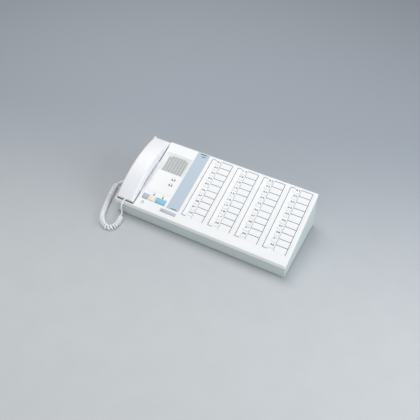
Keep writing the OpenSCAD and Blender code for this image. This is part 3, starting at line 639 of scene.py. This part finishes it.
# %% The helix round it
per_curl = COARSE * FINER
so_far, count = [], 0
for i, wound in enumerate(curled):
    count += 1 if wound and i else 0
    so_far.append(count)
tangents = [
    (axis[min(i + 1, len(axis) - 1)] - axis[max(i - 1, 0)]).normalized() for i in range(len(axis))]
side, angle, cord_line, outwards = Vector((1, 0, 0)), 0, [], []
for i, centre in enumerate(axis):
    if i:
        side = (side - side.dot(tangents[i]) * tangents[i]).normalized()
    grow = min(1, min(so_far[i], count - so_far[i]) / (RAMP_CURLS * per_curl))
    angle += math.tau * grow / per_curl
    outward = math.cos(angle) * side + math.sin(angle) * tangents[i].cross(side)
    cord_line.append(centre + CURL_R * grow * grow * (3 - 2 * grow) * outward)
    outwards.append(outward)


# %% Helpers for new pieces
def add_piece(name, bm, material, place=Matrix.Identity(4), smooth=40):
    """Turns a bmesh into a piece of the scene, with its faces smooth up to the given angle."""
    mesh = bpy.data.meshes.new(name)
    bmesh.ops.recalc_face_normals(bm, faces=bm.faces)
    bm.to_mesh(mesh)
    bm.free()
    mesh.transform(place)
    mesh.polygons.foreach_set("use_smooth", [True] * len(mesh.polygons))
    mesh.set_sharp_from_angle(angle=math.radians(smooth))
    mesh.materials.append(material)
    obj = bpy.data.objects.new(name, mesh)
    bpy.context.scene.collection.objects.link(obj)
    return obj


def add_tube(bm, line, firsts, radius, sides):
    """A closed tube of round sections along a line of points."""
    rings = []
    for i, centre in enumerate(line):
        ahead = (line[min(i + 1, len(line) - 1)] - line[max(i - 1, 0)]).normalized()
        first = (firsts[i] - firsts[i].dot(ahead) * ahead).normalized()
        second = ahead.cross(first)
        rings.append([
            bm.verts.new(centre + radius * (math.cos(a) * first + math.sin(a) * second))
            for a in (math.tau * k / sides for k in range(sides))])
    for ring, after in zip(rings, rings[1:]):
        for k in range(sides):
            bm.faces.new((ring[k], ring[(k + 1) % sides], after[(k + 1) % sides], after[k]))
    bm.faces.new(rings[0])
    bm.faces.new(rings[-1])


# %% The cord itself
cord_mesh = bmesh.new()
add_tube(cord_mesh, cord_line, outwards, CORD_D / 2, SIDES)
cord = add_piece("curly_cord_tube", cord_mesh, PLASTIC["cord"], smooth=60)
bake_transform(cord)
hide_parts("curly_cord")
print("cord faces:", len(cord.data.polygons))


# %% [markdown]
# ## Keys, buttons and knobs
#
# A key or button is a cap with softened edges, a flange that keeps it under the panel, and a stem
# that reaches its switch. A volume knob is a ribbed cap on a wide flange. A bevel on the upper
# edges catches the light. All forty station keys share one mesh, and each is its own object, so
# that each can move with its own body.

# %% Rounded blocks
BEVEL_SEGMENTS, BEVEL_PROFILE = 3, 0.6
TOP_TOLERANCE = 0.001


def add_block(bm, low, high, rounding=0.0):
    """A box between two corners, in millimetres, whose upper and upright edges are rounded."""
    made = bmesh.ops.create_cube(bm, size=1)
    size = [h - l for l, h in zip(low, high)]
    middle = [(l + h) / 2 for l, h in zip(low, high)]
    bmesh.ops.scale(bm, vec=size, verts=made["verts"])
    bmesh.ops.translate(bm, vec=middle, verts=made["verts"])
    if rounding:
        edges = {e for v in made["verts"] for e in v.link_edges}
        chosen = [e for e in edges if max(v.co.z for v in e.verts) > high[2] - TOP_TOLERANCE]
        bmesh.ops.bevel(bm, geom=chosen, offset=rounding, segments=BEVEL_SEGMENTS,
                        profile=BEVEL_PROFILE, affect="EDGES", clamp_overlap=True)


def cap_mesh(width, depth, rise, under, flange, flange_t, stem, stem_end, rounding):
    """Cap, flange and stem of a key or button about its own middle, in millimetres."""
    bm = bmesh.new()
    add_block(bm, (-width / 2, -depth / 2, -under), (width / 2, depth / 2, rise), rounding)
    add_block(bm, (-width / 2 - flange, -depth / 2 - flange, -under),
              (width / 2 + flange, depth / 2 + flange, flange_t - under))
    add_block(bm, (-stem / 2, -stem / 2, stem_end), (stem / 2, stem / 2, -under))
    return bm


# %% Where the station keys are
COLUMNS, ROWS, UPPER_ROWS = 4, 10, 5
COLUMN_PITCH, ROW_PITCH, MIDDLE_GAP = 76, 18.5, 2.1
FIRST_U, FIRST_S = 210, 210.9
KEY_OFF_U, KEY_OFF_S = 0.3, -7.4


def mark(column, row):
    """The place (u, s) of a key's number."""
    return (FIRST_U + column * COLUMN_PITCH,
            FIRST_S - row * ROW_PITCH - (0 if row < UPPER_ROWS else MIDDLE_GAP))


print("last mark:", mark(COLUMNS - 1, ROWS - 1))

# %% Station keys
key_bm = cap_mesh(width=14, depth=7.5, rise=0.8, under=4.5, flange=1, flange_t=1.2, stem=4,
                  stem_end=-7.3, rounding=0.5)
key_form = add_piece("key_form", key_bm, PLASTIC["key"], place=Matrix.Scale(MM, 4))
for column in range(COLUMNS):
    for row in range(ROWS):
        number = column * ROWS + row + 1
        u, s = mark(column, row)
        middle = Vector((u + KEY_OFF_U, s + KEY_OFF_S, 0)) * MM
        key = bpy.data.objects.new(f"station_key_{number:02d}", key_form.data)
        bpy.context.scene.collection.objects.link(key)
        key.matrix_world = SLOPE_PLACE @ Matrix.Translation(middle)
        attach(key, f"key_{number:02d}")
        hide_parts(f"key_{number:02d}")
bpy.data.objects.remove(key_form)
print("keys:", COLUMNS * ROWS)

# %% The three large buttons
# Name, place along u and width of each button
BUTTONS = (("off", 75.2, 16), ("call", 94.4, 14.8), ("talk", 121, 29))
BUTTON_S = 38.7
for name, u, width in BUTTONS:
    cap_bm = cap_mesh(width, depth=15.2, rise=2, under=4.5, flange=1.2, flange_t=1.2, stem=4,
                      stem_end=-9, rounding=0.8)
    button = add_piece(f"{name}_button_cap", cap_bm, PLASTIC[name],
                       place=SLOPE_MM @ Matrix.Translation((u, BUTTON_S, 0)))
    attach(button, f"{name}_button")
    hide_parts(f"{name}_button")
print("buttons:", len(BUTTONS))

# %% Two volume knobs
SLOT_D, KNOB_CLEAR = 5, 0.3
KNOB_HALF_D = SLOT_D / 2 - KNOB_CLEAR
KNOB_W, KNOB_FOOT, KNOB_TOP, KNOB_EDGE = 4, -4.5, 1.2, 0.3
RIBS, RIB_HALF_W, RIB_FOOT, RIB_TOP, RIB_EDGE = (-1.2, 0, 1.2), 0.25, 1.1, 1.4, 0.12
RIB_HALF_D = KNOB_HALF_D - 0.2
FLANGE_HALF_W, FLANGE_HALF_D, FLANGE_TOP = 4.5, 3.25, -3.3
for name, s in SLIDERS:
    bm = bmesh.new()
    add_block(bm, (-KNOB_W / 2, -KNOB_HALF_D, KNOB_FOOT), (KNOB_W / 2, KNOB_HALF_D, KNOB_TOP),
              KNOB_EDGE)
    for rib in RIBS:
        add_block(bm, (rib - RIB_HALF_W, -RIB_HALF_D, RIB_FOOT),
                  (rib + RIB_HALF_W, RIB_HALF_D, RIB_TOP), RIB_EDGE)
    caps = len(bm.faces)
    add_block(bm, (-FLANGE_HALF_W, -FLANGE_HALF_D, KNOB_FOOT),
              (FLANGE_HALF_W, FLANGE_HALF_D, FLANGE_TOP))
    # The flange takes the dark plastic: painted shade, so that the foot of the slot round the knob
    # reads dark
    bm.faces.ensure_lookup_table()
    for face in bm.faces[caps:]:
        face.material_index = 1
    knob = add_piece(f"{name}_knob", bm, PLASTIC["key"],
                     place=SLOPE_MM @ Matrix.Translation((SLIDER_U, s, 0)))
    knob.data.materials.append(PLASTIC["dark"])
    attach(knob, name)
    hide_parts(name)
print("volume knobs:", len(SLIDERS))


# %% [markdown]
# ## Print on the panels
#
# The station numbers, the frames round the cards and the small marks are printed. Print has almost
# no thickness, but it is not nothing: it is a film whose top lies 0.04 mm above the panel, so the
# two never fight for the same place. The frames are thin bars.

# %% Printed bars
INK_T = 0.04


def add_bar(bm, u0, u1, s0, s1):
    """A printed bar between the given sides, in millimetres."""
    add_block(bm, (u0, s0, 0), (u1, s1, INK_T))


# %% Frames round the cards
LINE = 1.4
FRAME_LEFT, CARD_LEFT, CARD_RIGHT = -20, 8.9, 40.3
CELL_TOP, FRAME_FOOT, CARD_FOOT = 3.1, 15, 15.5
TOP_BAR_END, FOOT_BAR_END = -7.8, -7.4
THIN_LEFT, THIN_RIGHT = 0.5, 0.1
lines = bmesh.new()
for column in range(COLUMNS):
    u, s = mark(column, 0)
    top = s + CELL_TOP
    last = mark(column, ROWS - 1)[1]
    frame_foot, card_foot = last - FRAME_FOOT, last - CARD_FOOT
    left, card_left, card_right = u + FRAME_LEFT, u + CARD_LEFT, u + CARD_RIGHT
    add_bar(lines, left - LINE / 2, left + LINE / 2, frame_foot, top)
    add_bar(lines, left, u + TOP_BAR_END, top - LINE / 2, top + LINE / 2)
    add_bar(lines, left, u + FOOT_BAR_END, frame_foot, frame_foot + LINE)
    add_bar(lines, card_left - THIN_LEFT, card_left + THIN_RIGHT, card_foot, top)
    add_bar(lines, card_right - LINE / 2, card_right + LINE / 2, card_foot, top)
    for row in range(ROWS):
        s = mark(column, row)[1] + CELL_TOP
        add_bar(lines, card_left, card_right, s - LINE / 2, s + LINE / 2)
frame_lines = add_piece("frame_lines", lines, PLASTIC["ink"], place=SLOPE_MM)
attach(frame_lines, "console")
print("frame bars:", COLUMNS * (5 + ROWS))


# %% [markdown]
# The numbers are Blender's own letters turned into a mesh and stretched to size. An offset makes
# their strokes bolder. It needs care, because some values leave a digit partly unfilled: 0.062 did
# that to the 6, and the 0.03 used here does it to the 9. At 0.022 all ten digits are filled.

# %% Station numbers
NUMBER_HEIGHT, NUMBER_WIDTH = 4.6, 11


def number_mesh(text, height, width):
    """The text as flat letters about their middle, stretched to the given size in millimetres."""
    curve = bpy.data.curves.new("letters", "FONT")
    curve.body = text
    curve.extrude = INK_T / 2
    curve.offset = 0.03
    curve.space_character = 1.08
    letters = bpy.data.objects.new("letters", curve)
    bpy.context.scene.collection.objects.link(letters)
    bpy.context.view_layer.update()
    mesh = bpy.data.meshes.new_from_object(letters)
    bpy.data.objects.remove(letters)
    xs = [v.co.x for v in mesh.vertices]
    ys = [v.co.y for v in mesh.vertices]
    middle = ((min(xs) + max(xs)) / 2, (min(ys) + max(ys)) / 2)
    mesh.transform(Matrix.Translation((-middle[0], -middle[1], 0)))
    stretch = (width / (max(xs) - min(xs)), height / (max(ys) - min(ys)))
    mesh.transform(Matrix.Diagonal((*stretch, 1, 1)))
    return mesh


print_bm = bmesh.new()
for column in range(COLUMNS):
    for row in range(ROWS):
        u, s = mark(column, row)
        number = column * ROWS + row + 1
        digits = number_mesh(f"{number:02d}", NUMBER_HEIGHT, NUMBER_WIDTH)
        digits.transform(Matrix.Translation((u, s, INK_T / 2)))
        print_bm.from_mesh(digits)
        bpy.data.meshes.remove(digits)
numbers = add_piece("station_numbers", print_bm, PLASTIC["number_ink"], place=SLOPE_MM)
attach(numbers, "console")
print("number faces:", len(numbers.data.polygons))

# %% [markdown]
# ## The talk unit's small pieces
#
# Two lamps are small dark lenses in a rim. A lens and its rim are both turned shapes, so one
# helper spins a profile about the panel's normal, as a lathe would.

# %% Turned pieces
TURN_STEPS = 28


def add_turned(bm, centre, profile):
    """Turns a profile of (radius, height) points about the panel's normal at a place (u, s)."""
    circle = [(math.cos(a), math.sin(a))
              for a in (math.tau * k / TURN_STEPS for k in range(TURN_STEPS))]
    rings = []
    for radius, height in profile:
        if radius == 0:
            rings.append([bm.verts.new((centre[0], centre[1], height))])
            continue
        rings.append([bm.verts.new((centre[0] + radius * c, centre[1] + radius * s, height))
                      for c, s in circle])
    for ring, after in zip(rings, rings[1:]):
        for k in range(TURN_STEPS):
            corners = [ring[k % len(ring)], ring[(k + 1) % len(ring)],
                       after[(k + 1) % len(after)], after[k % len(after)]]
            bm.faces.new(list(dict.fromkeys(corners)))


# %% Lamps
LAMP_US, LAMP_S = (94.9, 121.8), 50.5
LENS_R, LENS_FOOT, LENS_SEAT, LENS_RISE, DOME_STEPS = 1.5, -1.0, 0.35, 0.85, 6
RIM = [(1.55, 0.02), (1.55, 0.4), (1.75, 0.55), (2.1, 0.35), (2.15, 0.02), (1.55, 0.02)]
dome = [(LENS_R * math.cos(a), LENS_SEAT + LENS_RISE * math.sin(a))
        for a in (math.tau / 4 * k / DOME_STEPS for k in range(DOME_STEPS))]
lens = [(LENS_R, LENS_FOOT)] + dome + [(0, LENS_SEAT + LENS_RISE)]
lamps, rims = bmesh.new(), bmesh.new()
for u in LAMP_US:
    add_turned(lamps, (u, LAMP_S), lens)
    add_turned(rims, (u, LAMP_S), RIM)
lamp_lenses = add_piece("lamp_lenses", lamps, PLASTIC["lamp"], place=SLOPE_MM)
lamp_rims = add_piece("lamp_rims", rims, PLASTIC["dark"], place=SLOPE_MM)
for piece in (lamp_lenses, lamp_rims):
    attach(piece, "console")
print("lamps:", len(LAMP_US))

# %% [markdown]
# ### Cloth behind the grille
#
# A loudspeaker's grille is lined so that no dust falls on the cone. Only what shows through the
# slots is made here: one strip of cloth in the foot of each slot. The outer two slots are shorter.

# %% Cloth strips
SPEAKER_U, SPEAKER_S = 103.5, 155.4
SLOTS, SLOT_PITCH, SLOT_GAP, SLOT_LEN, SLOT_CUT = 7, 8.6, 6.4, 52, 6
CLOTH_CLEAR, CLOTH_FOOT, CLOTH_TOP, CLOTH_EDGE = 0.03, -1.9, -1.55, 0.1
half_u, half_s = SLOT_GAP / 2 - CLOTH_CLEAR, SLOT_LEN / 2 - CLOTH_CLEAR
cloth_bm = bmesh.new()
for i in range(SLOTS):
    off = i - (SLOTS - 1) / 2
    cut = SLOT_CUT if abs(off) > SLOTS / 2 - 1 else 0
    middle = SPEAKER_U + off * SLOT_PITCH
    add_block(cloth_bm, (middle - half_u, SPEAKER_S - half_s, CLOTH_FOOT),
              (middle + half_u, SPEAKER_S + half_s - cut, CLOTH_TOP), CLOTH_EDGE)
cloth = add_piece("grille_cloth_strips", cloth_bm, FINISH["cloth"], place=SLOPE_MM)
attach(cloth, "console")
print("cloth strips:", SLOTS)

# %% [markdown]
# ### Painted shade in the cradle's pockets
#
# The gap beside the cups must read as a dark line, where shade falls into each pocket. Dark
# strips with a fibrous grain line the lower wall and the right wall of each pocket as painted
# shade. A strip is a band between two rounded corners, one on the wall and one inside it, pushed
# down into the pocket.

# %% Painted shade strips
POCKET_RIGHT, WALL_R, CORNER_STEPS = 56.75, 3, 8
SHADE_STRIP_SIDE, SHADE_STRIP_FOOT, SHADE_STRIP_TOP = 1.2, -7.9, -0.3
# Each pocket: where the strip starts, its lower wall, the strip's thickness there, and its end
POCKETS = ((6.5, 3.95, 1.7, 43.5), (47, 148.45, 0.55, 204))


def corner_line(start_u, s, u, end_s, radius):
    """Points along a wall, round its corner and up the side wall."""
    turn = [(u - radius + radius * math.sin(a), s + radius - radius * math.cos(a))
            for a in (math.tau / 4 * k / CORNER_STEPS for k in range(CORNER_STEPS + 1))]
    return [(start_u, s)] + turn + [(u, end_s)]


def add_band(bm, outer, inner, n0, n1):
    """A solid band between two lines of points (u, s) with as many points each."""
    rings = []
    for (u0, s0), (u1, s1) in zip(outer, inner):
        rings.append([bm.verts.new((u, s, n)) for u, s, n in
                      ((u0, s0, n0), (u0, s0, n1), (u1, s1, n1), (u1, s1, n0))])
    for ring, after in zip(rings, rings[1:]):
        for k in range(4):
            bm.faces.new((ring[k], ring[(k + 1) % 4], after[(k + 1) % 4], after[k]))
    bm.faces.new(rings[0])
    bm.faces.new(rings[-1])


pocket_shade_bm = bmesh.new()
for start_u, s, thick, end_s in POCKETS:
    outer = corner_line(start_u, s, POCKET_RIGHT, end_s, WALL_R)
    inner = corner_line(start_u, s + thick, POCKET_RIGHT - SHADE_STRIP_SIDE, end_s, WALL_R - 1)
    add_band(pocket_shade_bm, outer, inner, SHADE_STRIP_FOOT, SHADE_STRIP_TOP)
pocket_shade = add_piece("painted_pocket_shade", pocket_shade_bm, FINISH["pocket_shade"], place=SLOPE_MM)
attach(pocket_shade, "console")
print("felt strips:", len(POCKETS))

# %% [markdown]
# ### Name plate and small marks
#
# The plate at the front edge is brushed metal and stays bare. Over each volume slot there is a
# wedge of bars that grows to the loud side, which anyone reads without a word. A thin rule and
# three short bars stand over the buttons, a ring stands round the microphone, and plain bars
# stand at the top and at the foot of the accent strip.

# %% Bare name plate
PLATE_LOW, PLATE_HIGH, PLATE_EDGE = (131.6, 13.1, -0.38), (177.4, 22.9, 0.12), 0.2
plate_bm = bmesh.new()
add_block(plate_bm, PLATE_LOW, PLATE_HIGH, PLATE_EDGE)
plate = add_piece("name_plate", plate_bm, FINISH["plate"], place=SLOPE_MM)
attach(plate, "console")
print("name plate, mm:", [round(c / MM, 1) for c in plate.dimensions])

# %% Wedges over the volume slots, and bars over the buttons
WEDGE_BARS, WEDGE_START, WEDGE_STEP, WEDGE_HALF_W = 5, -4, 2, 0.35
WEDGE_FOOT, WEDGE_TOP, WEDGE_GROWTH = 4.2, 5, 0.35
RULE = (63.8, 136, 62.4, 62.6)
SHORT_BARS, SHORT_FOOT, SHORT_TOP = (6, 8, 8), 55.6, 56.3
marks_bm = bmesh.new()
for _, s in SLIDERS:
    for step in range(WEDGE_BARS):
        u = SLIDER_U + WEDGE_START + WEDGE_STEP * step
        add_bar(marks_bm, u - WEDGE_HALF_W, u + WEDGE_HALF_W,
                s + WEDGE_FOOT, s + WEDGE_TOP + WEDGE_GROWTH * step)
add_bar(marks_bm, *RULE)
for (_, u, _), bar in zip(BUTTONS, SHORT_BARS):
    add_bar(marks_bm, u - bar / 2, u + bar / 2, SHORT_FOOT, SHORT_TOP)
panel_marks = add_piece("panel_marks", marks_bm, PLASTIC["ink"], place=SLOPE_MM)
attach(panel_marks, "console")
print("marks:", len(SLIDERS) * WEDGE_BARS + 1 + len(SHORT_BARS))

# %% Ring round the microphone, and plain bars on the strip
MIC_U, MIC_S, RING_IN, RING_OUT, RING_STEPS = 75.9, 19.4, 3.3, 4.1, 32
STRIP_BARS = ((152, 170, 215, 217.4), (158, 169, 208.2, 210.2), (156, 172, 31, 33))
bold_bm = bmesh.new()
circle = [(math.cos(a), math.sin(a))
          for a in (math.tau * k / RING_STEPS for k in range(RING_STEPS + 1))]
outer, inner = ([(MIC_U + r * c, MIC_S + r * s) for c, s in circle] for r in (RING_OUT, RING_IN))
add_band(bold_bm, outer, inner, 0, INK_T)
for bar in STRIP_BARS:
    add_bar(bold_bm, *bar)
plain_marks = add_piece("plain_marks", bold_bm, PLASTIC["number_ink"], place=SLOPE_MM)
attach(plain_marks, "console")
print("ring and bars:", 1 + len(STRIP_BARS))

# %% [markdown]
# ## Floor and light
#
# The studio is a pale floor, with painted shade that darkens it towards the back, and soft light
# from three broad lamps. One hangs above, behind and to the left, so the shadows are short and
# fall to the front and the right. One stands to the right, lower and a little blue, and lights the
# right wall. A weak one in front keeps the front wall readable, and a pale sky fills the rest.

# %% Floor
FLOOR_HALF = 4
# Painted shade: the floor's colour darkens along this direction, for the fall of light away from
# the lamps
PAPER_AWAY = (-0.3, 0.95, 0)
PAPER_NEAR, PAPER_FAR = -0.45, 0.5


def paper(name, near, far):
    """Matt paper whose colour darkens from the front to the back: painted shade for the fall of
    light.
    """
    material = moulded(name, near, roughness=0.9, grain=200, depth=0.00005, dust=0)
    tree = material.node_tree
    depth = tree.nodes.new("ShaderNodeMapRange")
    depth.interpolation_type = "SMOOTHSTEP"
    along = calculate_vector(tree, "DOT_PRODUCT", object_place(tree), PAPER_AWAY)
    for label, source in (("Value", along), ("From Min", PAPER_NEAR), ("From Max", PAPER_FAR)):
        feed(tree, depth.inputs[label], source)
    repaint(material, depth.outputs["Result"], far)
    return material


floor_bm = bmesh.new()
bmesh.ops.create_grid(floor_bm, x_segments=1, y_segments=1, size=FLOOR_HALF)
floor_paper_painted_falloff = paper("floor_paper_painted_falloff", tone(206, 209, 210), tone(164, 170, 178))
floor = add_piece("floor", floor_bm, floor_paper_painted_falloff)
print("floor:", floor.name)


# %% Lights
def area_light(name, place, target, size, power, colour):
    """A square area light that looks at a target."""
    data = bpy.data.lights.new(name, "AREA")
    data.size = size
    data.energy = power
    data.color = colour
    light = bpy.data.objects.new(name, data)
    light.location = place
    light.rotation_euler = (Vector(target) - Vector(place)).to_track_quat("-Z", "Y").to_euler()
    bpy.context.scene.collection.objects.link(light)


area_light("overhead", place=(-0.6, 0.5, 2.0), target=(0, 0, 0), size=1.4, power=23.5,
           colour=(1.0, 0.995, 0.985))
area_light("right", place=(1.9, -0.1, 0.9), target=(0.2, 0, 0.05), size=1.4, power=22,
           colour=(0.91, 0.965, 1.03))
area_light("front", place=(0.3, -2.2, 0.8), target=(0, 0, 0.05), size=1.6, power=10,
           colour=(0.98, 1.0, 0.985))
print("lights:", len(bpy.data.lights))

# %% Sky
SKY_COLOUR, SKY_STRENGTH = (0.93, 0.96, 1.0, 1), 0.34
world = bpy.data.worlds.new("studio")
world.use_nodes = True
background = world.node_tree.nodes["Background"]
background.inputs["Color"].default_value = SKY_COLOUR
background.inputs["Strength"].default_value = SKY_STRENGTH
bpy.context.scene.world = world
print("sky strength:", SKY_STRENGTH)
